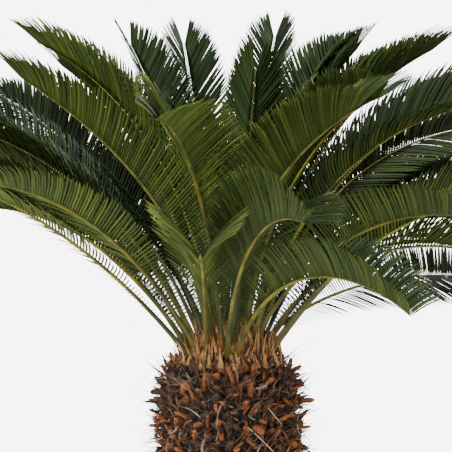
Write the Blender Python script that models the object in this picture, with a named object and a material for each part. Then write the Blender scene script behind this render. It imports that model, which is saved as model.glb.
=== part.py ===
"""Sago palm: a stout trunk clad in old leaf bases, under a full crown of stiff feather fronds.

Metres, +Z up. The origin is the middle of the flat cut under the trunk, at ground level,
and +Y runs away from the side that the crown is listed from. Every frond is one closed
blade: a three-sided rib with a pointed leaflet on each side of each step along it.
"""

from collections import namedtuple

import bpy
import numpy as np
from mathutils import Vector
from mathutils.bvhtree import BVHTree

# Trunk: (height, radius) up to its shoulder, with the root flare in the first two rows.
TRUNK_PROFILE = ((0.0, 0.205), (0.05, 0.196), (0.14, 0.186), (0.30, 0.182), (0.46, 0.187),
                 (0.57, 0.188), (0.63, 0.176), (0.665, 0.154))
TRUNK_COLUMNS = 32
TRUNK_ROWS = 23
STUB_OUT = 0.010
STUB_IN = 0.008
STUB_UP = 0.009
SHOULDER_RADIUS = 0.142
SHOULDER_HEIGHT = 0.674
SHOULDER_TOOTH = 0.012

# Domed top of the trunk, half an ellipsoid, where the fronds stand.
DOME_HEIGHT = 0.664
DOME_RADIUS = 0.125
DOME_RISE = 0.076
DOME_RINGS = 7

# Feet of the fronds on the dome: those that leave flat stand at its edge, the upright ones near
# its middle, worked out from the lift at which they leave the edge and the one that is inmost.
FOOT_REACH = 0.116
EDGE_LIFT = 40.0
INMOST_LIFT = 92.5
INMOST_ANGLE = 84.0
FOOT_SPACING = 0.022
FOOT_ROUNDS = 400
FOOT_PUSH = 0.35
SEAT_GAP = 0.0003
SEAT_SAMPLES = 18
RAY_START = 0.01

# A frond's rib, wide and deep at its foot and slim at its tip, with its keel below its line.
RIB_STEPS = 60
RIB_WIDTH = (0.013, 0.0035)
RIB_DEPTH = (0.017, 0.0060)
KEEL_SHARE = 0.7
STEM_STATION = 0.06
BARE_STEM = 0.11
SWEEP_POWER = 0.8

# Its leaflets: their number a side, their length, and by the way along the rib their share of that
# length and their angle to the rib.
LEAFLETS = 18
LEAFLET_LENGTH = 0.165
LEAFLET_SIZE_AT = ((0.08, 0.10), (0.20, 0.38), (0.32, 0.68), (0.46, 0.94), (0.58, 1.0), (0.76, 0.98),
                   (0.90, 0.82), (1.0, 0.6))
LEAFLET_ANGLE_AT = ((0.0, 90.0), (0.15, 80.0), (0.4, 62.0), (0.7, 50.0), (0.9, 42.0), (1.0, 28.0))
SQUARE = 90.0
LEAFLET_DROOP = 12.0
TIP_LEAFLET = 0.055
LEAFLET_CUTS = (1.0, 0.8, 0.6, 0.45, 0.3)
LEAFLET_CLEARANCE = 0.0012

TRUNK_BROWN = (0.17, 0.095, 0.045)
LEAF_GREEN = (0.075, 0.125, 0.030)
LEAF_SHADES = (0.8, 1.2)
TRUNK_ROUGHNESS = 0.9
LEAF_ROUGHNESS = 0.45

# turn: compass angle of the foot, 0 along +X and 90 along +Y. lift and tip: slope of the rib at its
# foot and at its tip. sweep: how far the turn changes along the rib. droop: how late the rib bends.
# stand: how far round the dome the foot stands from its own turn. rise: how far the two rows of
# leaflets rise to a keeled V. roll: how far the blade has rolled about its rib at the tip. close:
# how much of the leaflets' usual closing towards the rib shows. size: share of the leaflets' usual
# length. Angles are in degrees.
WING_RISE = 52.0
Frond = namedtuple("Frond", "name turn lift tip length sweep droop stand rise roll close size",
                   defaults=(0, WING_RISE, 0, 1, 1))

PLACED_FRONDS = (
    Frond("left_low_outer", 205, 49, 8, 1.00, 0, 1.3, rise=14, close=1.1),
    Frond("left_low_inner", 226, 53, -10, 1.00, 6, 1.3, rise=22, close=1.1),
    Frond("left_front_high", 254, 62, 25, 0.96, -32, 0.8, roll=22, size=0.88),
    Frond("left_back_mid", 145, 60, 25, 1.05, 2, 1.25, rise=30, roll=25),
    Frond("left_mid_upper", 177, 60, 20, 1.00, -4, 1.5, rise=34, roll=15),
    Frond("left_mid_lower", 190, 64, 7, 1.00, 0, 1.25, rise=34, roll=10),
    Frond("left_back_high", 165, 83, 27, 0.98, 3, 1.25),
    Frond("left_back_shade", 148, 76, 32, 0.94, 0, 1.25),
    Frond("back_left_tall", 127, 73, 50, 0.94, 0, 1.5),
    Frond("back_centre_left", 107, 71, 52, 0.97, -4, 1.3),
    Frond("front_centre", -70, 80, 63, 0.71, -12, 1.19, rise=44, roll=20, close=1.1, size=0.86),
    Frond("back_centre_right", 69, 73, 50, 0.99, 8, 1.3),
    Frond("back_right_tall", 51, 81, 31, 0.98, -7, 1.35),
    Frond("back_right_edge_on", 37, 79, 42, 0.92, 0, 1.35),
    Frond("right_back_high", 27, 80, 23, 0.94, -4, 1.4),
    Frond("right_back_slim", 18, 76, 26, 1.00, 2, 1.4),
    Frond("right_back_low", 8, 72, 12, 1.00, 0, 1.3),
    Frond("right_front_shade", -40, 80, 4, 0.88, -28, 1.2),
    Frond("front_right_high", -90, 60, 19, 0.90, 36, 0.95, roll=-15),
    Frond("right_mid_upper", -30, 73, -3, 1.00, -3, 1.28, rise=45, roll=-42),
    Frond("right_mid_lower", 14, 73, -5, 1.00, -6, 1.27, rise=14, roll=-46),
    Frond("right_low_upper", -42, 66, -13, 1.00, -25, 0.7, rise=40),
    Frond("front_right_arch", -84, 32, -28, 0.95, 27, 1.8, rise=64, close=0.2, size=0.66),
    Frond("right_low_mid", 12, 64, -34, 0.88, -6, 0.9),
    Frond("right_low_far", 30, 69, -24, 0.87, -10, 1.0),
    Frond("right_low_back", 53, 33, -6, 1.00, -25, 0.7, rise=16, roll=-44, close=0.6),
    Frond("front_fold", -90, 36, -9, 0.96, 16, 2.1, roll=20),
    Frond("front_facing", -92, 58, -6, 0.81, 3, 0.65, stand=-30, rise=56, close=0.4),
    Frond("front_left_high", -100, 61, -4, 0.97, 0, 1.5, roll=24),
)

# Fronds that fill the far side of the crown: whorl, count, first and last turn, lift, tip, length.
FILLED_WHORLS = (
    ("back_low", 4, 68, 112, 42, -16, 0.86),
    ("back_middle", 9, 34, 148, 54, -6, 0.92),
    ("back_upper", 8, 36, 150, 64, 4, 0.86),
    ("right_shade", 3, -14, 16, 54, -4, 0.96),
    ("left_shade", 3, 166, 198, 58, 2, 0.94),
    ("heart", 3, -130, 110, 84, 62, 0.50),
)
WHORL_TURN = 5.0
WHORL_LIFT = 3.0
WHORL_TIP = 6.0
WHORL_SWEEP = 4.0
WHORL_LENGTH = 0.04
WHORL_DROOP = 1.25
SEED = 20


def clear_scene():
    """Take every object out of the open file."""
    for old in list(bpy.data.objects):
        bpy.data.objects.remove(old, do_unlink=True)


def finish(name, colour, roughness):
    """A plain material of one colour."""
    material = bpy.data.materials.new(name)
    material.use_nodes = True
    shader = material.node_tree.nodes["Principled BSDF"]
    shader.inputs["Base Color"].default_value = (*colour, 1.0)
    shader.inputs["Roughness"].default_value = roughness
    shader.inputs["Metallic"].default_value = 0.0
    return material


def add_object(name, points, faces, material):
    """Put one closed mesh in the scene and return its object."""
    mesh = bpy.data.meshes.new(name)
    mesh.from_pydata([tuple(point) for point in points], [], faces)
    mesh.materials.append(material)
    mesh.validate()
    mesh.update()
    made = bpy.data.objects.new(name, mesh)
    bpy.context.collection.objects.link(made)
    return made


def ring(radius, height, columns, phase=0.0):
    """Points round the trunk's axis; radius and height may each be one value or one per column."""
    angle = (np.arange(columns) + phase) * 2 * np.pi / columns
    return np.stack([radius * np.cos(angle), radius * np.sin(angle), height + 0 * angle], axis=1)


def make_trunk():
    """The trunk: staggered leaf-base stubs up the side, a toothed shoulder and a smooth dome.

    Each square of the wall is cut between its two hollow corners, so a stub is a four-sided point.
    """
    columns = np.arange(TRUNK_COLUMNS)
    heights, radii = np.array(TRUNK_PROFILE).T
    rings = [ring(radii[0], 0.0, TRUNK_COLUMNS)]
    for row, height in enumerate(np.linspace(0.0, heights[-1], TRUNK_ROWS)[1:]):
        stub = (columns + row) % 2 == 0
        radius = np.interp(height, heights, radii) + np.where(stub, STUB_OUT, -STUB_IN)
        rings.append(ring(radius, height + np.where(stub, STUB_UP, 0.0), TRUNK_COLUMNS))
    tooth = np.where(columns % 2 == 0, SHOULDER_TOOTH, 0.0)
    rings.append(ring(SHOULDER_RADIUS, SHOULDER_HEIGHT + tooth, TRUNK_COLUMNS))
    for turn in np.linspace(0.0, 0.5 * np.pi, DOME_RINGS + 1)[:-1]:
        rings.append(ring(DOME_RADIUS * np.cos(turn), DOME_HEIGHT + DOME_RISE * np.sin(turn), TRUNK_COLUMNS))
    points = np.concatenate(rings + [np.array([[0.0, 0.0, 0.0], [0.0, 0.0, DOME_HEIGHT + DOME_RISE]])])
    bottom, top = len(points) - 2, len(points) - 1
    faces = []
    for level in range(len(rings) - 1):
        for column in range(TRUNK_COLUMNS):
            here = level * TRUNK_COLUMNS + column
            beside = level * TRUNK_COLUMNS + (column + 1) % TRUNK_COLUMNS
            above, over = here + TRUNK_COLUMNS, beside + TRUNK_COLUMNS
            if (column + level) % 2 == 1:
                faces += [(here, beside, above), (beside, over, above)]
            else:
                faces += [(here, beside, over), (here, over, above)]
    last = (len(rings) - 1) * TRUNK_COLUMNS
    for column in range(TRUNK_COLUMNS):
        beside = (column + 1) % TRUNK_COLUMNS
        faces.append((beside, column, bottom))
        faces.append((last + column, last + beside, top))
    return add_object("trunk", points, faces, finish("old leaf bases", TRUNK_BROWN, TRUNK_ROUGHNESS))


def dome_point(flat):
    """Height of the dome above a point of the plan, and its outward normal there."""
    rise = np.sqrt(1.0 - float(flat @ flat) / DOME_RADIUS ** 2)
    point = np.array([flat[0], flat[1], DOME_HEIGHT + DOME_RISE * rise])
    slope = np.array([*(flat / DOME_RADIUS ** 2), rise / DOME_RISE])
    return point, slope / np.linalg.norm(slope)


def filled_fronds():
    """The far side's fronds, spread evenly in each whorl with a little seeded variation."""
    chance = np.random.default_rng(SEED)
    fronds = []
    for whorl, count, first, last, lift, tip, length in FILLED_WHORLS:
        for index, turn in enumerate(np.linspace(first, last, count)):
            vary = chance.uniform(-1.0, 1.0, 4)
            fronds.append(Frond(f"{whorl}_{index + 1}", turn + WHORL_TURN * vary[0],
                                lift + WHORL_LIFT * vary[1], tip + WHORL_TIP * vary[2],
                                length * (1 + WHORL_LENGTH * vary[3]),
                                WHORL_SWEEP * vary[2], WHORL_DROOP))
    return fronds


def frond_feet(fronds):
    """Feet on the dome: steep fronds stand near its middle, and none closer than their spacing."""
    lift = np.array([frond.lift for frond in fronds])
    turn = np.radians([frond.turn + frond.stand for frond in fronds])
    inward = np.clip((lift - EDGE_LIFT) / (INMOST_LIFT - EDGE_LIFT), 0.0, 1.0)
    reach = FOOT_REACH * np.cos(np.radians(INMOST_ANGLE * inward))
    feet = np.stack([reach * np.cos(turn), reach * np.sin(turn)], axis=1)
    for _ in range(FOOT_ROUNDS):
        apart = feet[:, None] - feet[None]
        distance = np.linalg.norm(apart, axis=2) + np.eye(len(feet))
        push = np.clip(FOOT_SPACING - distance, 0.0, None) * FOOT_PUSH
        np.fill_diagonal(push, 0.0)
        feet = feet + (apart / distance[..., None] * push[..., None]).sum(axis=1)
        out = np.linalg.norm(feet, axis=1)
        feet = feet * np.minimum(1.0, FOOT_REACH / out)[:, None]
    return feet


def rib_line(frond, foot):
    """Points along a rib, with its along, side and up directions, at even steps from foot to tip.

    The slope goes from lift to tip as the droop power of the way along, the turn adds its sweep,
    and the points are the running sum of the short steps in those directions. Side and up roll
    about the rib with the square root of the way.
    """
    way = np.linspace(0.0, 1.0, RIB_STEPS + 1)
    middle = 0.5 * (way[1:] + way[:-1])
    slope = np.radians(frond.lift + (frond.tip - frond.lift) * middle ** frond.droop)
    turn = np.radians(frond.turn + frond.sweep * middle ** SWEEP_POWER)
    steps = np.stack([np.cos(slope) * np.cos(turn), np.cos(slope) * np.sin(turn), np.sin(slope)], axis=1)
    start, _ = dome_point(foot)
    points = np.concatenate([[start], start + np.cumsum(steps, axis=0) * frond.length / RIB_STEPS])
    along = np.gradient(points, axis=0)
    along /= np.linalg.norm(along, axis=1)[:, None]
    side = np.cross(along, (0.0, 0.0, 1.0))
    side /= np.linalg.norm(side, axis=1)[:, None]
    up = np.cross(side, along)
    roll = np.radians(frond.roll * np.sqrt(way))[:, None]
    side, up = np.cos(roll) * side + np.sin(roll) * up, np.cos(roll) * up - np.sin(roll) * side
    return way, points, along, side, up


def read_line(way, table, at):
    """Read a table of vectors at the given ways along the rib."""
    return np.stack([np.interp(at, way, table[:, axis]) for axis in range(3)], axis=-1)


def read_pairs(pairs, at):
    """Read (way, value) pairs at the given ways."""
    known, values = np.array(pairs).T
    return np.interp(at, known, values)


def rib_sections(frond, foot, seat):
    """Keel, right and left corner of the rib at each station, the first three seated on the dome.

    The first corners slide along the rib to the plane that lies the seat's height above the dome.
    """
    way, *tables = rib_line(frond, foot)
    stations = np.concatenate([[0.0, STEM_STATION], np.linspace(BARE_STEM, 1.0, LEAFLETS + 1)])
    points, along, side, up = (read_line(way, table, stations) for table in tables)
    width = (RIB_WIDTH[0] + (RIB_WIDTH[1] - RIB_WIDTH[0]) * stations)[:, None]
    depth = (RIB_DEPTH[0] + (RIB_DEPTH[1] - RIB_DEPTH[0]) * stations)[:, None]
    keel = points - KEEL_SHARE * depth * up
    top = points + (1.0 - KEEL_SHARE) * depth * up
    right = top + 0.5 * width * side
    left = top - 0.5 * width * side
    on_dome, normal = dome_point(foot)
    level = on_dome @ normal + seat
    for corner in (keel, right, left):
        corner[0] += along[0] * (level - corner[0] @ normal) / (along[0] @ normal)
    return stations, np.stack([keel, right, left], axis=1), points, along, side, up


def leaflet_tips(frond, stations, points, along, side, up):
    """Tips of the leaflets between the stations, right ones first: two rows of points.

    A leaflet leans forward by its angle to the rib and rises by the wing's slope beside it.
    """
    middle = 0.5 * (stations[2:-1] + stations[3:])
    size = frond.size * LEAFLET_LENGTH * read_pairs(LEAFLET_SIZE_AT, middle)[:, None]
    closed = SQUARE - read_pairs(LEAFLET_ANGLE_AT, middle)
    angle = np.radians(SQUARE - frond.close * closed)[:, None]
    rise = np.radians(frond.rise - LEAFLET_DROOP)
    centre, ahead, across, over = (0.5 * (table[2:-1] + table[3:]) for table in (points, along, side, up))
    tips = []
    for hand in (1.0, -1.0):
        wing = np.cos(rise) * hand * across + np.sin(rise) * over
        outward = np.cos(angle) * ahead + np.sin(angle) * wing
        tips.append(centre + size * outward)
    return np.stack(tips)


def side_quads(station):
    """Corner numbers of the right and the left side of the rib, between two stations."""
    keel, right, left = 3 * station, 3 * station + 1, 3 * station + 2
    return (right, keel, keel + 3, right + 3), (keel, left, left + 3, keel + 3)


def spike(corners, tip, grow=0.0):
    """Points and faces of one leaflet alone, made thicker by grow, to test it against the rest."""
    middle = corners.mean(axis=0)
    outward = corners - middle
    swollen = corners + outward / np.linalg.norm(outward, axis=1)[:, None] * grow
    beyond = tip + (tip - middle) / np.linalg.norm(tip - middle) * grow
    points = [Vector(point) for point in (*swollen, beyond)]
    return points, [(0, 1, 4), (1, 2, 4), (2, 3, 4), (3, 0, 4), (3, 2, 1, 0)]


def frond_mesh(sections, tips, lengths):
    """Points and faces of a frond whose leaflets have the given shares of their full length."""
    count = len(sections)
    points = [tuple(point) for point in sections.reshape(-1, 3)]
    faces = [(0, 1, 2)]
    for station in range(count - 1):
        keel = 3 * station
        faces.append((keel + 2, keel + 1, keel + 4, keel + 5))
        for hand, quad in enumerate(side_quads(station)):
            share = lengths[hand][station - 2] if station >= 2 else 0.0
            if share == 0.0:
                faces.append(quad)
                continue
            middle = np.mean([points[corner] for corner in quad], axis=0)
            points.append(tuple(middle + share * (tips[hand][station - 2] - middle)))
            faces += [(quad[side], quad[(side + 1) % 4], len(points) - 1) for side in range(4)]
    last = 3 * (count - 1)
    points.append(tuple(sections[-1].mean(axis=0) + TIP_LEAFLET * end_direction(sections)))
    faces += [(last, last + 2, len(points) - 1), (last + 2, last + 1, len(points) - 1),
              (last + 1, last, len(points) - 1)]
    return points, faces


def end_direction(sections):
    """Direction in which the rib leaves its last station."""
    step = sections[-1].mean(axis=0) - sections[-2].mean(axis=0)
    return step / np.linalg.norm(step)


def tree_of(points, faces):
    """Search tree of a mesh."""
    return BVHTree.FromPolygons([Vector(point) for point in points], faces, epsilon=0.0)


def seat_height(frond, foot, trunk_tree):
    """How far above the dome's tangent plane the stem is cut, to clear the facets by the seat gap."""
    _, sections, *_ = rib_sections(frond, foot, 0.0)
    _, normal = dome_point(foot)
    even = np.linspace(0.0, 1.0, SEAT_SAMPLES)
    weights = [(a, b * (1.0 - a), (1.0 - a) * (1.0 - b)) for a in even for b in even]
    gaps = []
    for weight in weights:
        point = np.array(weight) @ sections[0] + RAY_START * normal
        distance = trunk_tree.ray_cast(Vector(point), Vector(-normal))[3]
        gaps.append(distance - RAY_START)
    return SEAT_GAP - min(gaps)


def grow_fronds(fronds, trunk_tree):
    """Meshes of all fronds: ribs first, then each leaflet as long as it can be without touching."""
    feet = frond_feet(fronds)
    shapes = []
    ribs = []
    for frond, foot in zip(fronds, feet):
        stations, sections, *tables = rib_sections(frond, foot, seat_height(frond, foot, trunk_tree))
        tips = leaflet_tips(frond, stations, *tables)
        shapes.append((sections, tips))
        ribs.append(tree_of(*frond_mesh(sections, tips, np.zeros((2, LEAFLETS)))))
    grown = []
    meshes = []
    for number, (sections, tips) in enumerate(shapes):
        near = [trunk_tree] + [rib for other, rib in enumerate(ribs) if other != number] + grown
        lengths = np.zeros((2, LEAFLETS))
        for step in range(LEAFLETS):
            for hand, quad in enumerate(side_quads(step + 2)):
                corners = sections.reshape(-1, 3)[list(quad)]
                lengths[hand][step] = longest_clear(corners, tips[hand][step], near)
        points, faces = frond_mesh(sections, tips, lengths)
        grown.append(tree_of(points, faces))
        meshes.append((points, faces))
    return meshes


def longest_clear(corners, tip, near):
    """The largest share of its length at which a leaflet touches nothing, or nought."""
    middle = corners.mean(axis=0)
    for share in LEAFLET_CUTS:
        blade = BVHTree.FromPolygons(*spike(corners, middle + share * (tip - middle), LEAFLET_CLEARANCE))
        if not any(blade.overlap(other) for other in near):
            return share
    return 0.0


def main():
    """Build the palm."""
    clear_scene()
    trunk = make_trunk()
    trunk_tree = tree_of([vertex.co for vertex in trunk.data.vertices],
                         [tuple(face.vertices) for face in trunk.data.polygons])
    fronds = list(PLACED_FRONDS) + filled_fronds()
    chance = np.random.default_rng(SEED)
    for frond, (points, faces) in zip(fronds, grow_fronds(fronds, trunk_tree)):
        green = np.array(LEAF_GREEN) * chance.uniform(*LEAF_SHADES)
        add_object(f"frond_{frond.name}", points, faces, finish(f"{frond.name} leaf", green, LEAF_ROUGHNESS))


main()
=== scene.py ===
# %% [markdown]
# # A sago palm, finished for rendering
#
# A sago palm isn't a palm at all but a cycad: a short, stout stem that never branches, wrapped in
# the stubs of its own old leaves, with one crown of stiff feather-like fronds on top. The solid
# model holds the trunk and each frond as one plain closed blade. This script grows the fine surface
# on that frame: thousands of narrow leaflets, the ribs that carry them, and the shaggy coat of
# leaf bases, scales and fibres round the stem.
#
# Nearly everything here is one shape repeated: a slender tapering blade that follows a curved line.
# A leaflet, a leaf stub, a papery scale and a dry fibre differ only in their line and their section.
# So the script first writes that one shape for whole arrays of blades, and then spends its effort on
# where each kind stands and how it bends.

# %% Load the solid model and note its box
from collections import namedtuple

import bpy
import numpy as np
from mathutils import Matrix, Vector


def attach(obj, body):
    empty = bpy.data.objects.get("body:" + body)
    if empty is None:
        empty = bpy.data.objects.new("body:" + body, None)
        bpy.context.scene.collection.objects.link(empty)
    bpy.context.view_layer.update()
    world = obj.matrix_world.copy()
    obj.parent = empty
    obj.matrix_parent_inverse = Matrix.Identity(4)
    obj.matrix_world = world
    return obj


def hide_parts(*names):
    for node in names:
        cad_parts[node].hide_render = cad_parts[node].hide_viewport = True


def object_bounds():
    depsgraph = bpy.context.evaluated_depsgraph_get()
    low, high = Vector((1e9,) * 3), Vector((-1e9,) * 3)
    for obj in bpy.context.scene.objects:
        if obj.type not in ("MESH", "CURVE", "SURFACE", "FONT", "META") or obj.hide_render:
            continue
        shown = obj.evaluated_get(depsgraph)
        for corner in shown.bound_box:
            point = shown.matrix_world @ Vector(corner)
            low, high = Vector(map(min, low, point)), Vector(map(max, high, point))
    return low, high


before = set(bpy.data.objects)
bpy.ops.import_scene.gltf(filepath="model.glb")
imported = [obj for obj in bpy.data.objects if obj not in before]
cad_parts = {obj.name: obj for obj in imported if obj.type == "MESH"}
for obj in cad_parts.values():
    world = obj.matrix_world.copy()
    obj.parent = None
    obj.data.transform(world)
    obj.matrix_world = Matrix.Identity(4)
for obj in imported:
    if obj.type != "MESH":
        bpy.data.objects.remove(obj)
solid_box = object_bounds()
rounded_box = [tuple(round(value, 3) for value in corner) for corner in solid_box]
print("solid model:", len(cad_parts), "nodes, box", rounded_box)

# %% [markdown]
# ## Blades from arrays
#
# A blade could be modelled once and copied, but copies can't each bend in their own way, and a
# hundred thousand objects would choke the file. Instead the points of all blades are worked out at
# once in one array with four axes: the blade, the station along it, the corner of the section, and
# x, y, z. Faces follow from the positions in that array, so no loop over points is needed.

# %% Points of many blades at once
def unit(vectors):
    """Vectors divided by their own length."""
    return vectors / np.linalg.norm(vectors, axis=-1, keepdims=True)


def centre_lines(start, headings, length):
    """Lines that leave start and run along the headings of their stretches.

    point(k) = start + the sum of the first k headings times length / stretches.
    """
    steps = headings * (length / headings.shape[1])[:, None, None]
    return np.concatenate([start[:, None], start[:, None] + np.cumsum(steps, axis=1)], axis=1)


def blade_points(line, across, half_width, half_depth, corners):
    """Sections set along each line: an ellipse with the given number of corners.

    corner(j) = line + across * half_width * cos(turn j) + over * half_depth * sin(turn j), where
    over = along x across, so that the corners run counter-clockwise seen from the tip. The corners
    may be their number or their turns.
    """
    along = unit(np.gradient(line, axis=1))
    across = unit(across - (across * along).sum(axis=2, keepdims=True) * along)
    over = np.cross(along, across)
    turn = np.radians(corners) if np.ndim(corners) else np.arange(corners) * 2 * np.pi / corners
    wide = across[:, :, None] * (half_width[:, :, None] * np.cos(turn))[..., None]
    deep = over[:, :, None] * (half_depth[:, :, None] * np.sin(turn))[..., None]
    return line[:, :, None] + wide + deep


# %% One mesh from many blades
def blade_mesh(name, points, materials, side_material, end_material):
    """A mesh of closed blades: quads round and along each one, and a face on both ends.

    side_material gives a material's number for each blade, stretch and side; end_material for each
    blade.
    """
    blades, stations, corners, _ = points.shape
    number = np.arange(blades * stations * corners).reshape(blades, stations, corners)
    low, high = number[:, :-1], number[:, 1:]
    sides = np.stack([low, np.roll(low, -1, 2), np.roll(high, -1, 2), high], axis=-1).reshape(-1, 4)
    ends = np.concatenate([number[:, 0, ::-1], number[:, -1]])
    mesh = bpy.data.meshes.new(name)
    mesh.vertices.add(number.size)
    mesh.vertices.foreach_set("co", points.astype(np.float32).ravel())
    mesh.loops.add(sides.size + ends.size)
    loops = np.concatenate([sides.ravel(), ends.ravel()])
    mesh.loops.foreach_set("vertex_index", loops.astype(np.int32))
    end_starts = sides.size + np.arange(0, ends.size, corners)
    starts = np.concatenate([np.arange(0, sides.size, 4), end_starts])
    mesh.polygons.add(len(starts))
    mesh.polygons.foreach_set("loop_start", starts.astype(np.int32))
    for material in materials:
        mesh.materials.append(material)
    shape = (blades, stations - 1, corners)
    chosen = np.broadcast_to(side_material, shape).ravel()
    chosen = np.concatenate([chosen, np.tile(np.broadcast_to(end_material, blades), 2)])
    mesh.polygons.foreach_set("material_index", chosen.astype(np.int32))
    mesh.update()
    mesh.validate()
    return mesh


def place(name, mesh, replaced):
    """Put a finished mesh in the scene as a piece that rides on the plant, and hide the nodes it replaces.
    """
    piece = bpy.data.objects.new(name, mesh)
    bpy.context.collection.objects.link(piece)
    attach(piece, "root")
    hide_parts(*replaced)
    mesh.calc_loop_triangles()
    print(f"{name}: {len(mesh.loop_triangles)} triangles")


# %% [markdown]
# ## Finishes as short sums
#
# A procedural finish is a small network of nodes, and wiring it by hand hides what it works out.
# The two classes below let a finish be written as a sum: a Wire is a socket that can be added to
# and multiplied, and a Paint is a material that can add any node.

# %% Sockets that can be reckoned with
class Wire:
    """A node's output. Arithmetic on it adds Math nodes to its paint."""

    def __init__(self, paint, socket):
        self.paint = paint
        self.socket = socket

    def reckon(self, operation, *values):
        return self.paint.add("ShaderNodeMath", {"operation": operation}, dict(enumerate(values)))[0]

    def __add__(self, other):
        return self.reckon("ADD", self, other)

    def __mul__(self, other):
        return self.reckon("MULTIPLY", self, other)

    __radd__ = __add__
    __rmul__ = __mul__


class Paint:
    """A Principled material, with one method that adds any node to it."""

    def __init__(self, name, colour, roughness, constants=None):
        self.material = bpy.data.materials.new(name)
        self.material.use_nodes = True
        self.tree = self.material.node_tree
        self.shader = self.tree.nodes["Principled BSDF"]
        self.shader.inputs["Base Color"].default_value = (*colour, 1.0)
        self.shader.inputs["Roughness"].default_value = roughness
        for socket, value in (constants or {}).items():
            self.shader.inputs[socket].default_value = value

    def feed(self, socket, value):
        """Link a wire to a socket, or set its value; a colour of three numbers gets its alpha."""
        if isinstance(value, Wire):
            self.tree.links.new(value.socket, socket)
        elif isinstance(value, tuple) and len(value) == 3 and socket.type == "RGBA":
            socket.default_value = (*value, 1.0)
        else:
            socket.default_value = value

    def add(self, kind, settings, sockets):
        """Add a node, first with its settings and then with its sockets, and return its outputs."""
        node = self.tree.nodes.new(kind)
        for key, value in settings.items():
            setattr(node, key, value)
        for key, value in sockets.items():
            self.feed(node.inputs[key], value)
        return [Wire(self, socket) for socket in node.outputs]

    def noise(self, scale, detail=3.0, stretch=(1.0, 1.0, 1.0)):
        """Noise on the piece's own coordinates, stretched along its axes."""
        where = self.add("ShaderNodeTexCoord", {}, {})[3]
        where = self.add("ShaderNodeMapping", {}, {"Vector": where, "Scale": stretch})[0]
        return self.add("ShaderNodeTexNoise", {}, {"Vector": where, "Scale": scale, "Detail": detail})[0]

    def blend(self, mask, first, second):
        """The first colour where the mask is 0 and the second where it is 1."""
        return self.add("ShaderNodeMix", {"data_type": "RGBA"}, {0: mask, 6: first, 7: second})[2]

    def step(self, value, low, high):
        """0 below low, 1 above high, and a smooth slope between."""
        sockets = {"Value": value, "From Min": low, "From Max": high}
        return self.add("ShaderNodeMapRange", {"interpolation_type": "SMOOTHSTEP"}, sockets)[0]

    def bump(self, height, depth):
        """Feed a height to the shader's normal as a bump of the given depth in metres."""
        normal = self.add("ShaderNodeBump", {}, {"Height": height, "Distance": depth})[0]
        self.feed(self.shader.inputs["Normal"], normal)


# %% [markdown]
# ## Where the camera stands
#
# The plant is seen level, from a little above its middle and three metres off, so close that the
# crown runs out of the frame at both sides. The lens follows from how many pixels one unit of slope
# covers in a picture 452 pixels wide.

# %% Camera
PICTURE_WIDTH = 452
PIXELS_PER_SLOPE = 1207.5
SENSOR_WIDTH = 36.0
CAMERA_PLACE = (-0.008, -3.2, 1.029)

camera = bpy.data.objects.new("camera", bpy.data.cameras.new("camera"))
bpy.context.collection.objects.link(camera)
camera.data.sensor_width = SENSOR_WIDTH
camera.data.lens = SENSOR_WIDTH * PIXELS_PER_SLOPE / PICTURE_WIDTH
camera.location = CAMERA_PLACE
camera.rotation_euler = (0.5 * np.pi, 0.0, 0.0)
bpy.context.scene.camera = camera
print("lens", round(camera.data.lens, 1), "mm")

# %% [markdown]
# ## The fronds' rows
#
# A frond leaves the trunk steeply and bends over as it goes, like a fishing rod. Five numbers say
# how: the compass turn of its foot, its slope at the foot and at the tip, its length, and how late
# it bends. A sixth, sweep, lets it curve sideways. A few fronds need more: stand moves the foot
# round the dome, rise lifts the two rows of leaflets to a V, roll turns that V about the rib, close
# says how far the leaflets close towards the tip, and size scales them. Green is the frond's rung on
# the ladder of colours further down. It holds the frond's own green with painted shade and painted
# light in it: lower for fronds deep in the crown's shade, higher for ones the lamps light too little.
# It is the only number here that the solid model lacks.
#
# The solid model is made from these rows too, so the fine fronds land on the solid ones. Most of
# the placed rows were first found by a fitting program and then rounded, and some of those were
# changed. The rest, and the whorls, were set one by one.

# %% Rows of the placed fronds and of the whorls that fill the far side
WING_RISE = 52.0
Frond = namedtuple("Frond", "name turn lift tip length sweep droop green stand rise roll close size",
                   defaults=(0, WING_RISE, 0, 1, 1))

# Each row's eighth number, green, is its rung: the frond's own green with painted shade and painted light.
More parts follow.
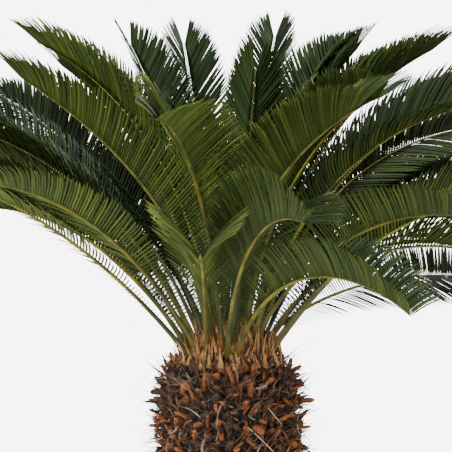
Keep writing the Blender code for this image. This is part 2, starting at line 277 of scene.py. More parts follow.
PLACED_FRONDS = (
    Frond("left_low_outer", 205, 49, 8, 1.00, 0, 1.3, 7, rise=14, close=1.1),
    Frond("left_low_inner", 226, 53, -10, 1.00, 6, 1.3, 7, rise=22, close=1.1),
    Frond("left_front_high", 254, 62, 25, 0.96, -32, 0.8, 6, roll=22, size=0.88),
    Frond("left_back_mid", 145, 60, 25, 1.05, 2, 1.25, 4, rise=30, roll=25),
    Frond("left_mid_upper", 177, 60, 20, 1.00, -4, 1.5, 5, rise=34, roll=15),
    Frond("left_mid_lower", 190, 64, 7, 1.00, 0, 1.25, 5, rise=34, roll=10),
    Frond("left_back_high", 165, 83, 27, 0.98, 3, 1.25, 6),
    Frond("left_back_shade", 148, 76, 32, 0.94, 0, 1.25, 6),
    Frond("back_left_tall", 127, 73, 50, 0.94, 0, 1.5, 5),
    Frond("back_centre_left", 107, 71, 52, 0.97, -4, 1.3, 5),
    Frond("front_centre", -70, 80, 63, 0.71, -12, 1.19, 2, rise=44, roll=20, close=1.1, size=0.86),
    Frond("back_centre_right", 69, 73, 50, 0.99, 8, 1.3, 5),
    Frond("back_right_tall", 51, 81, 31, 0.98, -7, 1.35, 7),
    Frond("back_right_edge_on", 37, 79, 42, 0.92, 0, 1.35, 5),
    Frond("right_back_high", 27, 80, 23, 0.94, -4, 1.4, 8),
    Frond("right_back_slim", 18, 76, 26, 1.00, 2, 1.4, 5),
    Frond("right_back_low", 8, 72, 12, 1.00, 0, 1.3, 6),
    Frond("right_front_shade", -40, 80, 4, 0.88, -28, 1.2, 5),
    Frond("front_right_high", -90, 60, 19, 0.90, 36, 0.95, 6, roll=-15),
    Frond("right_mid_upper", -30, 73, -3, 1.00, -3, 1.28, 5, rise=45, roll=-42),
    Frond("right_mid_lower", 14, 73, -5, 1.00, -6, 1.27, 8, rise=14, roll=-46),
    Frond("right_low_upper", -42, 66, -13, 1.00, -25, 0.7, 6, rise=40),
    Frond("front_right_arch", -84, 32, -28, 0.95, 27, 1.8, 6, rise=64, close=0.2, size=0.66),
    Frond("right_low_mid", 12, 64, -34, 0.88, -6, 0.9, 6),
    Frond("right_low_far", 30, 69, -24, 0.87, -10, 1.0, 6),
    Frond("right_low_back", 53, 33, -6, 1.00, -25, 0.7, 7, rise=16, roll=-44, close=0.6),
    Frond("front_fold", -90, 36, -9, 0.96, 16, 2.1, 5, roll=20),
    Frond("front_facing", -92, 58, -6, 0.81, 3, 0.65, 8, stand=-30, rise=56, close=0.4),
    Frond("front_left_high", -100, 61, -4, 0.97, 0, 1.5, 8, roll=24),
)

# whorl, count, first and last turn, lift, tip, length, green (a rung with painted shade in it)
FILLED_WHORLS = (
    ("back_low", 4, 68, 112, 42, -16, 0.86, 3),
    ("back_middle", 9, 34, 148, 54, -6, 0.92, 4),
    ("back_upper", 8, 36, 150, 64, 4, 0.86, 3),
    ("right_shade", 3, -14, 16, 54, -4, 0.96, 6),
    ("left_shade", 3, 166, 198, 58, 2, 0.94, 5),
    ("heart", 3, -130, 110, 84, 62, 0.50, 2),
)
WHORL_TURN = 5.0
WHORL_LIFT = 3.0
WHORL_TIP = 6.0
WHORL_SWEEP = 4.0
WHORL_LENGTH = 0.04
WHORL_DROOP = 1.25
SEED = 20


def filled_fronds():
    """The far side's fronds, spread evenly in each whorl with a little seeded variation."""
    chance = np.random.default_rng(SEED)
    fronds = []
    for whorl, count, first, last, lift, tip, length, green in FILLED_WHORLS:
        for index, turn in enumerate(np.linspace(first, last, count)):
            vary = chance.uniform(-1.0, 1.0, 4)
            fronds.append(Frond(f"{whorl}_{index + 1}", turn + WHORL_TURN * vary[0],
                                lift + WHORL_LIFT * vary[1], tip + WHORL_TIP * vary[2],
                                length * (1 + WHORL_LENGTH * vary[3]),
                                WHORL_SWEEP * vary[2], WHORL_DROOP, green))
    return fronds


FRONDS = list(PLACED_FRONDS) + filled_fronds()
print(len(FRONDS), "fronds")

# %% [markdown]
# ## Feet on the dome
#
# The crown stands on the rounded top of the stem. Upright young fronds rise near its middle and the
# old, low ones from its edge, and no two can share a spot. The feet are first put by their lift and
# turn, and then push each other apart until none stand closer than a leaf base is wide.

# %% Feet, pushed apart
DOME_HEIGHT = 0.664
DOME_RADIUS = 0.125
DOME_RISE = 0.076
FOOT_REACH = 0.116
EDGE_LIFT = 40.0
INMOST_LIFT = 92.5
INMOST_ANGLE = 84.0
FOOT_SPACING = 0.022
FOOT_ROUNDS = 400
FOOT_PUSH = 0.35


def frond_feet(fronds):
    """Points on the dome: reach = FOOT_REACH * cos(share of the way to upright), then pushed apart.

    height = DOME_HEIGHT + DOME_RISE * sqrt(1 - (distance from the axis / DOME_RADIUS) ** 2)
    """
    lift = np.array([frond.lift for frond in fronds])
    turn = np.radians([frond.turn + frond.stand for frond in fronds])
    inward = np.clip((lift - EDGE_LIFT) / (INMOST_LIFT - EDGE_LIFT), 0.0, 1.0)
    reach = FOOT_REACH * np.cos(np.radians(INMOST_ANGLE * inward))
    feet = np.stack([reach * np.cos(turn), reach * np.sin(turn)], axis=1)
    for _ in range(FOOT_ROUNDS):
        apart = feet[:, None] - feet[None]
        distance = np.linalg.norm(apart, axis=2) + np.eye(len(feet))
        push = np.clip(FOOT_SPACING - distance, 0.0, None) * FOOT_PUSH
        np.fill_diagonal(push, 0.0)
        feet = feet + (apart / distance[..., None] * push[..., None]).sum(axis=1)
        out = np.linalg.norm(feet, axis=1)
        feet = feet * np.minimum(1.0, FOOT_REACH / out)[:, None]
    rise = np.sqrt(1.0 - (feet ** 2).sum(axis=1) / DOME_RADIUS ** 2)
    return np.concatenate([feet, (DOME_HEIGHT + DOME_RISE * rise)[:, None]], axis=1)


FEET = frond_feet(FRONDS)
print("feet between", FEET.min(axis=0).round(3), "and", FEET.max(axis=0).round(3))

# %% [markdown]
# ## Ribs
#
# Each frond hangs on one rib: a thick, rounded stalk at its foot that thins to a wire at the tip.
# A curve object with a bevel would do, but the leaflets need to know the rib's direction at every
# point anyway, so the line is worked out once and both are built from it.

# %% The line of every rib
RIB_STEPS = 60
SWEEP_POWER = 0.8


def rib_lines(fronds, feet):
    """Points, along, side and up directions of every rib at even steps, as arrays frond by step.

    slope = lift + (tip - lift) * way ** droop, turn = turn + sweep * way ** SWEEP_POWER, and the
    points are the running sum of the short steps in those directions. Side and up roll about the
    rib with the square root of the way.
    """
    row = {key: np.array([getattr(frond, key) for frond in fronds], float)[:, None]
           for key in ("turn", "lift", "tip", "length", "sweep", "droop", "roll")}
    way = np.linspace(0.0, 1.0, RIB_STEPS + 1)
    middle = 0.5 * (way[1:] + way[:-1])[None]
    slope = np.radians(row["lift"] + (row["tip"] - row["lift"]) * middle ** row["droop"])
    turn = np.radians(row["turn"] + row["sweep"] * middle ** SWEEP_POWER)
    headings = np.stack([np.cos(slope) * np.cos(turn), np.cos(slope) * np.sin(turn), np.sin(slope)], axis=2)
    points = centre_lines(feet, headings, row["length"][:, 0])
    along = unit(np.gradient(points, axis=1))
    side = unit(np.cross(along, (0.0, 0.0, 1.0)))
    up = np.cross(side, along)
    roll = np.radians(row["roll"] * np.sqrt(way))[..., None]
    side, up = np.cos(roll) * side + np.sin(roll) * up, np.cos(roll) * up - np.sin(roll) * side
    return way, points, along, side, up


WAY, RIB_POINTS, RIB_ALONG, RIB_SIDE, RIB_UP = rib_lines(FRONDS, FEET)
print("highest rib point", RIB_POINTS[..., 2].max().round(3))

# %% [markdown]
# ## Greens
#
# Seen from the front, the near fronds turn their olive undersides to the light, while the far ones
# show dark upper sides, painted slightly blue for the sheen that the sky lays on them. Real leaflets
# vary from one to the next, and that is what makes a feather look like many blades and not like a
# sheet. So there is one ladder of greens from the darkest to the lightest, each frond has its rung,
# and each leaflet takes one from two rungs below it to one above. A frond's rung also holds painted
# shade and painted light: lower deep in the crown, higher where the lamps reach too little. They
# are plain colours: the pattern is in how they are dealt out.

# %% Ladder of greens
RUNGS = 9
# The upper greens are the leaflets' dark tops with a painted blue sheen of sky reflection mixed in.
UPPER_DARK_WITH_SHEEN, UPPER_LIGHT_WITH_SHEEN = (0.0045, 0.0095, 0.0042), (0.070, 0.104, 0.030)
UNDER_DARK, UNDER_LIGHT = (0.011, 0.022, 0.0035), (0.126, 0.164, 0.020)
DRY_TIP = (0.30, 0.22, 0.07)
UPPER_ROUGHNESS = 0.44
UNDER_ROUGHNESS = 0.55
DRY_ROUGHNESS = 0.7
LEAF_SHINE = {"Specular IOR Level": 0.2}


def ladder(name, dark, light, roughness):
    """Plain paints whose colours go from dark to light in even ratios."""
    dark, light = np.array(dark), np.array(light)
    paints = []
    for rung in range(RUNGS):
        colour = dark * (light / dark) ** (rung / (RUNGS - 1))
        paints.append(Paint(f"{name} {rung + 1}", colour, roughness, LEAF_SHINE).material)
    return paints


upper_greens_with_sheen = ladder("leaflet top with sheen", UPPER_DARK_WITH_SHEEN, UPPER_LIGHT_WITH_SHEEN, UPPER_ROUGHNESS)
under_greens = ladder("leaflet underside", UNDER_DARK, UNDER_LIGHT, UNDER_ROUGHNESS)
dry_tip = Paint("dry leaflet tip", DRY_TIP, DRY_ROUGHNESS).material
LEAF_MATERIALS = upper_greens_with_sheen + under_greens + [dry_tip]
print(len(LEAF_MATERIALS), "leaf colours")

# %% [markdown]
# ## Leaflets
#
# A leaflet is a stiff, narrow strap with a sharp tip, flat on top and keeled below where its midrib
# runs, so three corners to a section give its true outline. It leaves the rib at an
# angle that closes towards the frond's tip, and it also rises, so the two rows stand in a keeled V.
# Near the foot the leaflets stand wider apart and shrink to short spines. Lengths, angles and rises
# are read from a few pairs along the rib, and the strap leans forward and droops a little as it goes.

# %% Rules of the leaflets along the rib
LEAFLET_LENGTH = 0.168
LEAFLET_WIDTH = 0.0078
LEAFLET_PITCH = 0.0076
LEAFLET_CORNERS = (0.0, 180.0, 270.0)
LEAFLET_STATIONS = 7
CROWDING = 0.13
FIRST_LEAFLET = 0.08
SIZE_AT = ((0.08, 0.10), (0.14, 0.22), (0.22, 0.42), (0.32, 0.68), (0.46, 0.94), (0.58, 1.0),
           (0.76, 0.98), (0.90, 0.84), (1.0, 0.62))
ANGLE_AT = ((0.0, 96.0), (0.15, 84.0), (0.4, 66.0), (0.7, 52.0), (0.9, 42.0), (1.0, 22.0))
RISE_AT = ((0.0, 40.0), (0.3, 50.0), (0.8, 54.0), (1.0, 50.0))
WIDTH_AT = ((0.0, 0.6), (0.1, 0.9), (0.3, 1.0), (0.75, 0.9), (0.92, 0.55), (1.0, 0.06))
SQUARE = 90.0
STRAY = 0.7
LEAN_FORWARD = 10.0
LEAN_POWER = 1.5
LEAN_DOWN = 26.0
KEEL = 0.0009
RIB_SINK = 0.003
ROW_OFFSET = 0.25
LENGTH_STRAY = 0.03
EDGE_TURN = 4.0
EDGE_TURN_STRAY = 7.0
LEAST_WIDTH = 0.4


def read_pairs(pairs, at):
    """Read (way, value) pairs at the given ways."""
    known, values = np.array(pairs).T
    return np.interp(at, known, values)


def read_rows(table, way):
    """Points or directions of one rib, known at WAY, read at other ways."""
    return np.stack([np.interp(way, WAY, table[:, axis]) for axis in range(3)], 1)


def leaflets_of(number, chance):
    """Points of all leaflets of one frond, first the right row and then the left, and their ways.

    way = even + CROWDING * sin(pi * even), so that they crowd towards the tip, and
    heading = cos(angle) * along + sin(angle) * (cos(rise) * side + sin(rise) * up), with the angle
    and the rise changing along the leaflet.
    """
    frond = FRONDS[number]
    count = int((1.0 - FIRST_LEAFLET) * frond.length / LEAFLET_PITCH)
    rows, ways = [], []
    for hand in (1.0, -1.0):
        even = np.clip(np.linspace(0.0, 1.0, count) + ROW_OFFSET * hand / count, 0.0, 1.0)
        way = FIRST_LEAFLET + (1.0 - FIRST_LEAFLET) * (even + CROWDING * np.sin(np.pi * even))
        tables = (RIB_POINTS, RIB_ALONG, RIB_SIDE, RIB_UP)
        base, along, side, up = (read_rows(table[number], way) for table in tables)
        vary = chance.normal(size=(4, count))
        share = read_pairs(SIZE_AT, way)
        length = LEAFLET_LENGTH * frond.size * share * (1.0 + LENGTH_STRAY * vary[0])
        out = np.linspace(0.0, 1.0, LEAFLET_STATIONS)
        middle = 0.5 * (out[1:] + out[:-1])
        angle = SQUARE - frond.close * (SQUARE - read_pairs(ANGLE_AT, way)) + STRAY * vary[1]
        angle = np.radians(angle[:, None] - LEAN_FORWARD * middle ** LEAN_POWER)
        rise = read_pairs(RISE_AT, way) * frond.rise / WING_RISE + 2 * STRAY * vary[2]
        rise = np.radians(rise[:, None] - LEAN_DOWN * middle)
        wing = (np.cos(rise)[..., None] * hand * side[:, None] + np.sin(rise)[..., None] * up[:, None])
        headings = np.cos(angle)[..., None] * along[:, None] + np.sin(angle)[..., None] * wing
        line = centre_lines(base + RIB_SINK * hand * side, headings, length)
        turned = np.radians(EDGE_TURN + EDGE_TURN_STRAY * vary[3])[:, None, None]
        ahead = hand * along[:, None]
        over = np.cross(headings[:, :1], ahead)
        across = np.broadcast_to(ahead * np.cos(turned) + over * np.sin(turned), line.shape)
        narrow = np.clip(share, LEAST_WIDTH, 1.0)[:, None]
        half_width = 0.5 * LEAFLET_WIDTH * read_pairs(WIDTH_AT, out)[None] * narrow
        half_depth = np.full(half_width.shape, KEEL)
        rows.append(blade_points(line, across, half_width, half_depth, LEAFLET_CORNERS))
        ways.append(way)
    return np.concatenate(rows), np.concatenate(ways)


metre_count = int((1.0 - FIRST_LEAFLET) / LEAFLET_PITCH)
print("leaflets in each row of a frond one metre long:", metre_count)


# %% Leaflets of the whole crown, in five pieces round it
SECTORS = {"leaflets_left": (150, 236), "leaflets_front": (236, 300), "leaflets_right": (300, 390),
           "leaflets_back_right": (30, 93), "leaflets_back_left": (93, 150)}
DRY_SHARE = 0.015
# DARK_WAY and DARK_RUNGS darken the leaflets near a frond's foot as painted shade.
DARK_WAY = 0.50
DARK_RUNGS = 4.0
RUNGS_DOWN = 2
RUNGS_UP = 1
LEAF_SEED = 7


def leaf_choice(way, rung, chance):
    """Material numbers: tops on the sides that face up, undersides below, and a few dry tips.

    rung = the frond's, from RUNGS_DOWN below to RUNGS_UP above, less
    DARK_RUNGS * (1 - way / DARK_WAY) near the foot, as painted shade.
    """
    count = len(way)
    painted_foot_shade = DARK_RUNGS * np.clip(1.0 - way / DARK_WAY, 0.0, None)
    stray = chance.integers(-RUNGS_DOWN, RUNGS_UP + 1, count)
    green = np.clip(np.rint(rung + stray - painted_foot_shade), 0, RUNGS - 1).astype(int)
    sides = np.stack([green, green + RUNGS, green + RUNGS], axis=1)[:, None]
    sides = np.repeat(sides, LEAFLET_STATIONS - 1, axis=1)
    dry = chance.random(count) < DRY_SHARE
    sides[dry, -1] = 2 * RUNGS
    return sides, green + RUNGS


def sector_of(frond):
    """Name of the piece that holds a frond's leaflets."""
    for name, (low, high) in SECTORS.items():
        if (frond.turn - low) % 360 < high - low:
            return name
    raise ValueError(frond.name)


leaf_chance = np.random.default_rng(LEAF_SEED)
held = {name: ([], [], [], []) for name in SECTORS}
for number, frond in enumerate(FRONDS):
    points, way = leaflets_of(number, leaf_chance)
    sides, ends = leaf_choice(way, frond.green, leaf_chance)
    for store, value in zip(held[sector_of(frond)], ([f"frond_{frond.name}"], points, sides, ends)):
        store.append(value)
for name, (nodes, points, sides, ends) in held.items():
    sides, ends = np.concatenate(sides), np.concatenate(ends)
    mesh = blade_mesh(name, np.concatenate(points), LEAF_MATERIALS, sides, ends)
    place(name, mesh, [node for few in nodes for node in few])

# %% [markdown]
# ## The ribs' own surface
#
# The stalk is olive green where it leaves the wool, turns straw yellow along its length and darkens
# in patches where it has weathered. One finish with slow noise for the patches and fine noise for
# the grain is enough at this size. It comes in four casts. A frond low on the ladder of greens gets
# a darker one as painted shade, and each rib's foot is one cast darker than the rest of it.

# %% Rib finish
RIB_CASTS = (((0.020, 0.028, 0.006), (0.055, 0.050, 0.010)),
             ((0.036, 0.045, 0.007), (0.110, 0.095, 0.014)),
             ((0.044, 0.054, 0.007), (0.140, 0.120, 0.016)),
             ((0.100, 0.100, 0.010), (0.270, 0.240, 0.020)))
RIB_ROUGHNESS = 0.5
PATCH_SCALE = 14.0
PATCH_STEP = (0.38, 0.62)
GRAIN_SCALE = 420.0
GRAIN_DETAIL = 2.0
GRAIN_SHADE = 0.55
GRAIN_SHARE = 0.5
GRAIN_BUMP = 0.0006


def rib_paint(number, green, straw):
    """Green and straw in slow patches, with a fine grain and a faint bump."""
    paint = Paint(f"rib {number}", green, RIB_ROUGHNESS)
    patches = paint.step(paint.noise(PATCH_SCALE), *PATCH_STEP)
    grain = paint.noise(GRAIN_SCALE, GRAIN_DETAIL)
    colour = paint.blend(patches, green, straw)
    darker = paint.blend(grain, colour, tuple(GRAIN_SHADE * part for part in straw))
    paint.feed(paint.shader.inputs["Base Color"], paint.blend(GRAIN_SHARE, colour, darker))
    paint.feed(paint.shader.inputs["Roughness"], 0.42 + 0.25 * grain)
    paint.bump(grain, GRAIN_BUMP)
    return paint.material


rib_paints = [rib_paint(number + 1, *cast) for number, cast in enumerate(RIB_CASTS)]
print(len(rib_paints), "casts of the rib finish")

# %% Ribs of all fronds
RIB_WIDTH_AT = ((0.0, 0.019), (0.05, 0.0145), (0.2, 0.0108), (0.5, 0.0078), (1.0, 0.0024))
RIB_DEPTH_AT = ((0.0, 0.017), (0.05, 0.0135), (0.2, 0.0104), (0.5, 0.0074), (1.0, 0.0024))
RIB_CORNERS = 10
RIB_FOOT_SINK = 0.010
RIB_LOWER = 0.35
CAST_RUNGS = (3.5, 4.5)
CAST_WAYS = (0.25,)

rib_line = RIB_POINTS.copy()
rib_line[:, 0] -= RIB_FOOT_SINK * RIB_ALONG[:, 0]
rib_shape = rib_line.shape[:2]
half_width = np.broadcast_to(0.5 * read_pairs(RIB_WIDTH_AT, WAY), rib_shape)
half_depth = np.broadcast_to(0.5 * read_pairs(RIB_DEPTH_AT, WAY), rib_shape)
rib_middle = rib_line - RIB_LOWER * half_depth[..., None] * RIB_UP
rib_points = blade_points(rib_middle, RIB_SIDE, half_width, half_depth, RIB_CORNERS)
# Ribs of fronds low on the ladder of greens take darker casts: painted shade.
frond_shade_cast = np.digitize([frond.green for frond in FRONDS], CAST_RUNGS)
rib_cast = frond_shade_cast[:, None] + np.digitize(WAY[:-1], CAST_WAYS)
rib_mesh = blade_mesh("ribs", rib_points, rib_paints, rib_cast[..., None], rib_cast[:, 0])
rib_mesh.shade_smooth()
place("ribs", rib_mesh, [f"frond_{frond.name}" for frond in FRONDS])

# %% [markdown]
# ## The stem's surface of revolution
#
# Everything on the stem stands on one turned surface: the flared foot, the long wall, the shoulder
# and the dome. Its profile is read by the length along it, so a foot of a scale is one number for
# the way up and one for the turn round. Scales on a cycad sit in spirals, each a golden angle on
# from the last, and the same rule spreads any number of them evenly over a turned surface as long
# as equal counts cover equal areas.

# %% Profile, frames and spirals on the stem
WALL = ((0.0, 0.205), (0.05, 0.196), (0.14, 0.186), (0.30, 0.182), (0.46, 0.187), (0.57, 0.188),
        (0.63, 0.176), (0.665, 0.154), (0.674, 0.142))
GOLDEN_ANGLE = np.pi * (3.0 - 5.0 ** 0.5)
DOME_START = 0.1
DOME_TURNS = 24
PROFILE_STEPS = 400


def stem_profile():
    """Radius and height along the wall and over the dome, at even steps of the way along it."""
    heights, radii = np.array(WALL).T
    turn = np.linspace(DOME_START, 0.5 * np.pi, DOME_TURNS)
    radii = np.concatenate([radii, DOME_RADIUS * np.cos(turn)])
    heights = np.concatenate([heights, DOME_HEIGHT + DOME_RISE * np.sin(turn)])
    way = np.concatenate([[0.0], np.cumsum(np.hypot(np.diff(radii), np.diff(heights)))])
    even = np.linspace(0.0, way[-1], PROFILE_STEPS)
    return even, np.interp(even, way, radii), np.interp(even, way, heights)


STEM_WAY, STEM_RADIUS, STEM_HEIGHT = stem_profile()
WALL_END = STEM_WAY[np.searchsorted(STEM_HEIGHT, WALL[-1][0])]


def stem_frame(way, turn, deeper=0.0):
    """Points on the stem with their outward, upward and round directions."""
    radius = np.interp(way, STEM_WAY, STEM_RADIUS)
    height = np.interp(way, STEM_WAY, STEM_HEIGHT)
    slope_r = np.interp(way, STEM_WAY, np.gradient(STEM_RADIUS, STEM_WAY))
    slope_h = np.interp(way, STEM_WAY, np.gradient(STEM_HEIGHT, STEM_WAY))
    ray = np.stack([np.cos(turn), np.sin(turn), 0.0 * turn], axis=-1)
    rise = np.array([0.0, 0.0, 1.0])
    up = unit(slope_r[..., None] * ray + slope_h[..., None] * rise)
    outward = unit(slope_h[..., None] * ray - slope_r[..., None] * rise)
    around = np.cross(rise, ray)
    points = radius[..., None] * ray + height[..., None] * rise - deeper * outward
    return points, outward, up, around


def spiral(count, first, last):
    """Ways and turns of points spread evenly by area between two ways, each a golden angle on."""
    covered = np.cumsum(STEM_RADIUS)
    low, high = np.interp((first, last), STEM_WAY, covered)
    way = np.interp(np.linspace(low, high, count), covered, STEM_WAY)
    return way, np.arange(count) * GOLDEN_ANGLE


print("stem's way up:", STEM_WAY[-1].round(3), "of which the wall is", WALL_END.round(3))

# %% [markdown]
# ## Old wood behind the scales
#
# Between the leaf bases the stem is fibrous wood, painted nearly black: the deep shade between the
# scales is painted into its colour. This core needs a real relief, because it shows wherever scales
# part, but no more detail than a close look would find. Its depth follows the spirals of the leaf
# bases with ripples on top.

# %% Core of the stem
CORE_ROWS = 130
CORE_COLUMNS = 192
CORE_DEPTH = 0.016
CORE_RIPPLE = 0.006
CORE_FADE = 0.03
FINE_RIPPLE = 0.4


def stem_core():
    """Grid over way w and turn t: depth = CORE_DEPTH + CORE_RIPPLE * ripple.

    ripple = sin(14 t + 210 w) * sin(21 t - 150 w) + FINE_RIPPLE * sin(55 t + 90 w). The depth
    fades to nothing at the foot and at the pole, which are both closed by a fan.
    """
    way, turn = np.meshgrid(np.linspace(0.0, STEM_WAY[-1], CORE_ROWS)[:-1],
                            np.arange(CORE_COLUMNS) * 2 * np.pi / CORE_COLUMNS, indexing="ij")
    ripple = np.sin(14 * turn + 210 * way) * np.sin(21 * turn - 150 * way)
    ripple = ripple + FINE_RIPPLE * np.sin(55 * turn + 90 * way)
    fade = np.clip(np.minimum(way, STEM_WAY[-1] - way) / CORE_FADE, 0.0, 1.0)
    points, outward, _, _ = stem_frame(way, turn)
    points = points - (fade * (CORE_DEPTH + CORE_RIPPLE * ripple))[..., None] * outward
    points[0, :, :2] *= 1.0 - CORE_DEPTH / WALL[0][1]
    ends = np.array([[0.0, 0.0, 0.0], [0.0, 0.0, STEM_HEIGHT[-1] - CORE_DEPTH * 0.5]])
    number = np.arange(points[..., 0].size).reshape(points.shape[:2])
    beside = np.roll(number, -1, 1)
    quads = np.stack([number[:-1], beside[:-1], beside[1:], number[1:]], axis=-1).reshape(-1, 4)
    low, high = number.size, number.size + 1
    foot = [(right, left, low) for left, right in zip(number[0], beside[0])]
    pole = [(left, right, high) for left, right in zip(number[-1], beside[-1])]
    mesh = bpy.data.meshes.new("stem_core")
    corners = np.concatenate([points.reshape(-1, 3), ends])
    mesh.from_pydata(corners.tolist(), [], quads.tolist() + foot + pole)
    mesh.update()
    return mesh


WOOD_ROUGHNESS = 0.85
WOOD_STEP = (0.40, 0.62)
# The core's near-black colours carry painted shade as well as the wood's own dark brown.
CORE_DARK_SHADED, CORE_LIGHT_SHADED = (0.006, 0.004, 0.003), (0.035, 0.020, 0.012)
CORE_SCALE = 60.0
CORE_BUMP = 0.0015


def wood_paint(name, dark, light, scale, depth):
    """Fibrous wood: two noises, one slow and one fine and stretched upward, mix dark into light."""
    paint = Paint(name, dark, WOOD_ROUGHNESS)
    slow = paint.noise(scale, 4.0)
    fine = paint.noise(scale * 5.0, 3.0, (1.0, 1.0, 0.35))
    mask = paint.step(0.6 * slow + 0.4 * fine, *WOOD_STEP)
    paint.feed(paint.shader.inputs["Base Color"], paint.blend(mask, dark, light))
    paint.feed(paint.shader.inputs["Roughness"], 0.7 + 0.25 * fine)
    paint.bump(fine + slow, depth)
    return paint.material


core_mesh = stem_core()
core_mesh.shade_smooth()
core_mesh.materials.append(wood_paint("old wood in painted shade", CORE_DARK_SHADED, CORE_LIGHT_SHADED, CORE_SCALE, CORE_BUMP))
place("stem_core", core_mesh, ["trunk"])

# %% [markdown]
# ## Leaf bases, scales and fibres
#
# Three things clothe the stem. Broken leaf bases are blunt stubs as thick as a finger, rust red
# where the outer skin is fresh. Papery scales stand between them and curl as they dry. Fibres from
# both hang and cross in all directions. Each kind is a set of blades on a spiral of its own, with
# its own heading, bend and section, and each is dealt its browns blade by blade.

# %% Browns
BROWNS = {
    "rust": ((0.180, 0.048, 0.012), (0.480, 0.155, 0.038)),
    "chestnut": ((0.075, 0.029, 0.012), (0.230, 0.096, 0.038)),
    "umber": ((0.020, 0.011, 0.007), (0.085, 0.046, 0.025)),
    "ash": ((0.135, 0.090, 0.055), (0.370, 0.265, 0.175)),
    "wool": ((0.330, 0.145, 0.044), (0.640, 0.360, 0.135)),
    "straw": ((0.480, 0.370, 0.220), (0.780, 0.660, 0.460)),
}
BLADE_SCALE = 130.0
BLADE_BUMP = 0.0008
brown_paints = {name: wood_paint(name, *pair, BLADE_SCALE, BLADE_BUMP) for name, pair in BROWNS.items()}
print(len(brown_paints), "browns")

# %% Blades on the stem
CLUMPING = 0.3
WAY_STRAY = 0.004
TURN_STRAY = 0.02
ASIDE_SHARE = 0.7
OUTWARD_PULL = 0.6
CURL_POWER = 1.5
TWIST_STRAY = 0.5
DEPTH_POWER = 0.7
GROUND_GAP = 0.0005
COAT_FIELDS = "count first last lift spread curl length width depth corners stations browns"
Coat = namedtuple("Coat", COAT_FIELDS)


def coat_of_blades(name, coat, taper, chance):
    """Blades on the stem's spiral, bent from their first heading towards a curled one.

    heading = outward * cos(lift) + up * sin(lift) + around * aside, then + curl * way along * a
    random direction; the taper gives the share of the full width at each way along. The third
    number of a coat's depth is how far below the stem's surface its blades start.
    """
    way, turn = spiral(coat.count, coat.first, coat.last)
    way = np.clip(way + chance.normal(0.0, WAY_STRAY, coat.count), coat.first, coat.last)
    turn = turn + chance.normal(0.0, TURN_STRAY, coat.count)
    base, outward, up, around = stem_frame(way, turn, deeper=coat.depth[2])
    lift = np.radians(coat.lift + coat.spread * chance.normal(size=coat.count))[:, None]
    aside = np.tan(np.radians(ASIDE_SHARE * coat.spread)) * chance.normal(size=coat.count)[:, None]
    first = unit(outward * np.cos(lift) + up * np.sin(lift) + around * aside)
    wild = unit(chance.normal(size=(coat.count, 3)) + OUTWARD_PULL * outward)
    out = np.linspace(0.0, 1.0, coat.stations)
    middle = (0.5 * (out[1:] + out[:-1]))[None, :, None]
    headings = unit(first[:, None] + coat.curl * middle ** CURL_POWER * wild[:, None])
    clump = 1.0 + CLUMPING * np.sin(5 * turn + 40 * way) * np.sin(9 * turn - 70 * way)
    line = centre_lines(base, headings, chance.uniform(*coat.length, coat.count) * clump)
    twist = chance.normal(0.0, TWIST_STRAY, coat.count)[:, None, None]
    across = np.broadcast_to(around[:, None] + twist * up[:, None], line.shape)
    share = read_pairs(taper, out)[None]
    width = chance.uniform(*coat.width, coat.count)[:, None] * share
    depth = chance.uniform(*coat.depth[:2], coat.count)[:, None] * share ** DEPTH_POWER
    points = blade_points(line, across, 0.5 * width, 0.5 * depth, coat.corners)
    points[..., 2] = np.maximum(points[..., 2], GROUND_GAP)
    names = list(coat.browns)
    dealt = chance.choice(len(names), coat.count, p=list(coat.browns.values()))
    paints = [brown_paints[brown] for brown in names]
    mesh = blade_mesh(name, points, paints, dealt[:, None, None], dealt)
    mesh.shade_smooth()
    place(name, mesh, ["trunk"])


STUB_TAPER = ((0.0, 0.8), (0.5, 1.0), (0.85, 0.85), (1.0, 0.4))
SCALE_TAPER = ((0.0, 0.7), (0.3, 1.0), (0.7, 0.7), (1.0, 0.06))
FIBRE_TAPER = ((0.0, 1.0), (0.6, 0.8), (1.0, 0.15))

COAT_SEED = 5
coat_chance = np.random.default_rng(COAT_SEED)
STUBS = Coat(count=760, first=0.012, last=WALL_END, lift=26, spread=24, curl=0.7,
             length=(0.022, 0.050), width=(0.012, 0.024), depth=(0.008, 0.014, 0.016), corners=7, stations=7,
             browns={"rust": 0.34, "chestnut": 0.38, "umber": 0.28})
SCALES = Coat(count=2300, first=0.010, last=WALL_END, lift=38, spread=32, curl=1.8, length=(0.028, 0.064),
              width=(0.005, 0.012), depth=(0.0012, 0.0022, 0.014), corners=4, stations=9,
              browns={"rust": 0.18, "chestnut": 0.28, "umber": 0.30, "ash": 0.24})
FIBRES = Coat(count=3600, first=0.012, last=WALL_END, lift=25, spread=45, curl=3.0, length=(0.028, 0.080),
              width=(0.0009, 0.0020), depth=(0.0008, 0.0014, 0.010), corners=3, stations=9,
              browns={"umber": 0.36, "chestnut": 0.22, "ash": 0.42})
coat_of_blades("leaf_bases", STUBS, STUB_TAPER, coat_chance)
coat_of_blades("papery_scales", SCALES, SCALE_TAPER, coat_chance)
coat_of_blades("fibres", FIBRES, FIBRE_TAPER, coat_chance)

# %% [markdown]
# ## Wool round the feet of the fronds
#
# New fronds push up through a ring of tan, felted scales. They stand nearly upright between the
# stalks, broad at the foot and drawn out to a thread, and lean outwards at the dome's edge. A few
# bleached strips of dead leaflet lie across the coat further down.

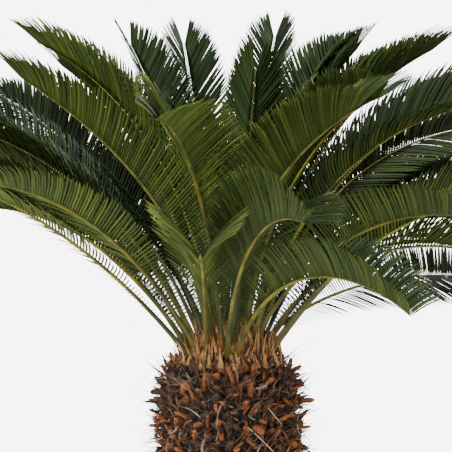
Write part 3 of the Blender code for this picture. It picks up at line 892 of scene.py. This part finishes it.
# %% Wool scales and bleached strips
WOOL_TAPER = ((0.0, 1.0), (0.25, 0.9), (0.55, 0.45), (1.0, 0.05))
WOOL = Coat(count=760, first=WALL_END - 0.035, last=STEM_WAY[-1] - 0.010, lift=60, spread=13, curl=0.4,
            length=(0.030, 0.085), width=(0.009, 0.017), depth=(0.0020, 0.0040, 0.004),
            corners=6, stations=8, browns={"wool": 0.62, "rust": 0.14, "chestnut": 0.24})
STRIPS = Coat(count=150, first=0.05, last=WALL_END, lift=12, spread=55, curl=1.6, length=(0.050, 0.105),
              width=(0.0024, 0.0046), depth=(0.0008, 0.0012, -0.012), corners=4, stations=12,
              browns={"straw": 0.6, "ash": 0.4})
coat_of_blades("wool_scales", WOOL, WOOL_TAPER, coat_chance)
coat_of_blades("bleached_strips", STRIPS, FIBRE_TAPER, coat_chance)

# %% [markdown]
# ## Floor and light
#
# The plant stands on a plain pale disc. A strong softbox stands high on the viewer's side, with a
# weaker one low at the left and at the right, and one behind so that the far fronds aren't black.
# The surroundings are white to the eye but give little light of their own, so the inside of the
# crown stays as dark as it is under real fronds.

# %% Floor
FLOOR_RADIUS = 2.1
FLOOR_CORNERS = 128
FLOOR_DROP = 0.0005
FLOOR_COLOUR = (0.80, 0.80, 0.79)
FLOOR_ROUGHNESS = 0.7

floor_mesh = bpy.data.meshes.new("floor")
floor_turn = np.arange(FLOOR_CORNERS) * 2 * np.pi / FLOOR_CORNERS
floor_points = FLOOR_RADIUS * np.stack([np.cos(floor_turn), np.sin(floor_turn), 0 * floor_turn], axis=1)
floor_points = floor_points - (0.0, 0.0, FLOOR_DROP)
floor_mesh.from_pydata(floor_points.tolist(), [], [tuple(range(FLOOR_CORNERS))])
floor_mesh.materials.append(Paint("pale floor", FLOOR_COLOUR, FLOOR_ROUGHNESS).material)
floor = bpy.data.objects.new("floor", floor_mesh)
bpy.context.collection.objects.link(floor)
print("floor", 2 * FLOOR_RADIUS, "m across")

# %% Lights and surroundings
# name, place, the point it faces, side in metres, power in watts
SOFTBOXES = (
    ("high light", (-0.9, -2.4, 3.7), (0.0, 0.0, 1.0), 1.6, 292.0),
    ("left light", (-2.6, -2.0, 0.9), (0.0, 0.0, 0.9), 1.6, 55.0),
    ("right light", (2.6, -2.0, 0.9), (0.0, 0.0, 0.9), 1.6, 46.0),
    ("back light", (0.8, 2.8, 3.4), (0.0, 0.0, 0.9), 2.6, 36.0),
)
SEEN_LIGHT = 7.0
SURROUND_LIGHT = 0.36
SEEN_COLOUR = (1.0, 1.0, 1.0, 1.0)
SURROUND_COLOUR = (1.0, 0.99, 0.96, 1.0)


def softbox(name, place_at, look_at, size, power):
    """A square area light that faces a point."""
    light = bpy.data.lights.new(name, "AREA")
    light.size = size
    light.energy = power
    box = bpy.data.objects.new(name, light)
    box.location = place_at
    box.rotation_euler = (Vector(look_at) - Vector(place_at)).to_track_quat("-Z", "Y").to_euler()
    bpy.context.collection.objects.link(box)


for row in SOFTBOXES:
    softbox(*row)

world = bpy.data.worlds.new("surroundings")
world.use_nodes = True
bpy.context.scene.world = world
nodes = world.node_tree.nodes
links = world.node_tree.links
seen = nodes.new("ShaderNodeBackground")
seen.inputs["Color"].default_value = SEEN_COLOUR
seen.inputs["Strength"].default_value = SEEN_LIGHT
given = nodes["Background"]
given.inputs["Color"].default_value = SURROUND_COLOUR
given.inputs["Strength"].default_value = SURROUND_LIGHT
path = nodes.new("ShaderNodeLightPath")
choice = nodes.new("ShaderNodeMixShader")
links.new(path.outputs["Is Camera Ray"], choice.inputs[0])
links.new(given.outputs[0], choice.inputs[1])
links.new(seen.outputs[0], choice.inputs[2])
links.new(choice.outputs[0], nodes["World Output"].inputs["Surface"])
print("lights:", [thing.name for thing in bpy.data.objects if thing.type == "LIGHT"])
